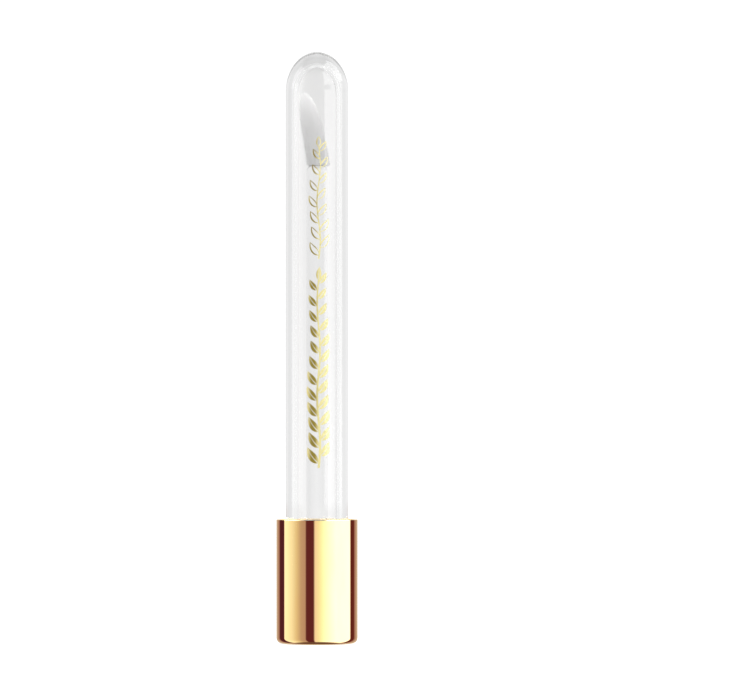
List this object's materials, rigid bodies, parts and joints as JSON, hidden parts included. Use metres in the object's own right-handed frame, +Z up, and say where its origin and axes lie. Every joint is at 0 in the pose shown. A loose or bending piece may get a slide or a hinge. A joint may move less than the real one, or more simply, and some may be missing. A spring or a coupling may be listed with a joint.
{
  "type": "lip gloss tube",
  "caption": "Slim clear round-ended gloss tube screwed into a gold cylindrical cap that it stands on, with a clear rod and flocked doe-foot tip inside.",
  "frame": {"origin": "centre of the cap's flat foot, which the closed pack stands on", "axes": "+Z up along the tube, -Y the decorated front, -X the side the doe-foot tip leans to"},
  "size_m": [0.017, 0.017, 0.1235],
  "materials": {
    "gold_shell": "polished gold anodised",
    "white_plastic": "moulded satin",
    "clear_plastic": "clear polished",
    "soft_plastic": "soft translucent",
    "flock": "short white flock",
    "gasket_foam": "closed-cell foam",
    "clear_gloss": "thick clear fluid",
    "gold_foil": "hot-stamped foil"
  },
  "bodies": {
    "applicator": {"cap_shell": "gold_shell", "inner_cap": "white_plastic", "rod": "clear_plastic", "tip_core": "soft_plastic", "tip_flock": "flock"},
    "seal": {"cap_liner": "gasket_foam"},
    "contents": {"gloss_fill": "clear_gloss"},
    "bottle": {"bottle": "clear_plastic", "wiper": "soft_plastic"}
  },
  "joints": [
    {"name": "bottle_unscrew", "type": "hinge", "parent": "applicator", "child": "seal", "pos_m": [0, 0, 0.0135], "axis": [0, 0, 1], "range_deg": [0, 540]},
    {"name": "bottle_draw", "type": "slide", "parent": "seal", "child": "contents", "axis": [0, 0, 1], "range_m": [0, 0.11], "deforming": ["gloss_fill", "wiper"]},
    {"name": "thread_rise", "type": "slide", "parent": "contents", "child": "bottle", "axis": [0, 0, 1], "range_m": [0, 0.0038]}
  ],
  "couplings": [
    {"joint": "thread_rise", "follows": "bottle_unscrew", "m_per_rad": 0.00039789}
  ]
}
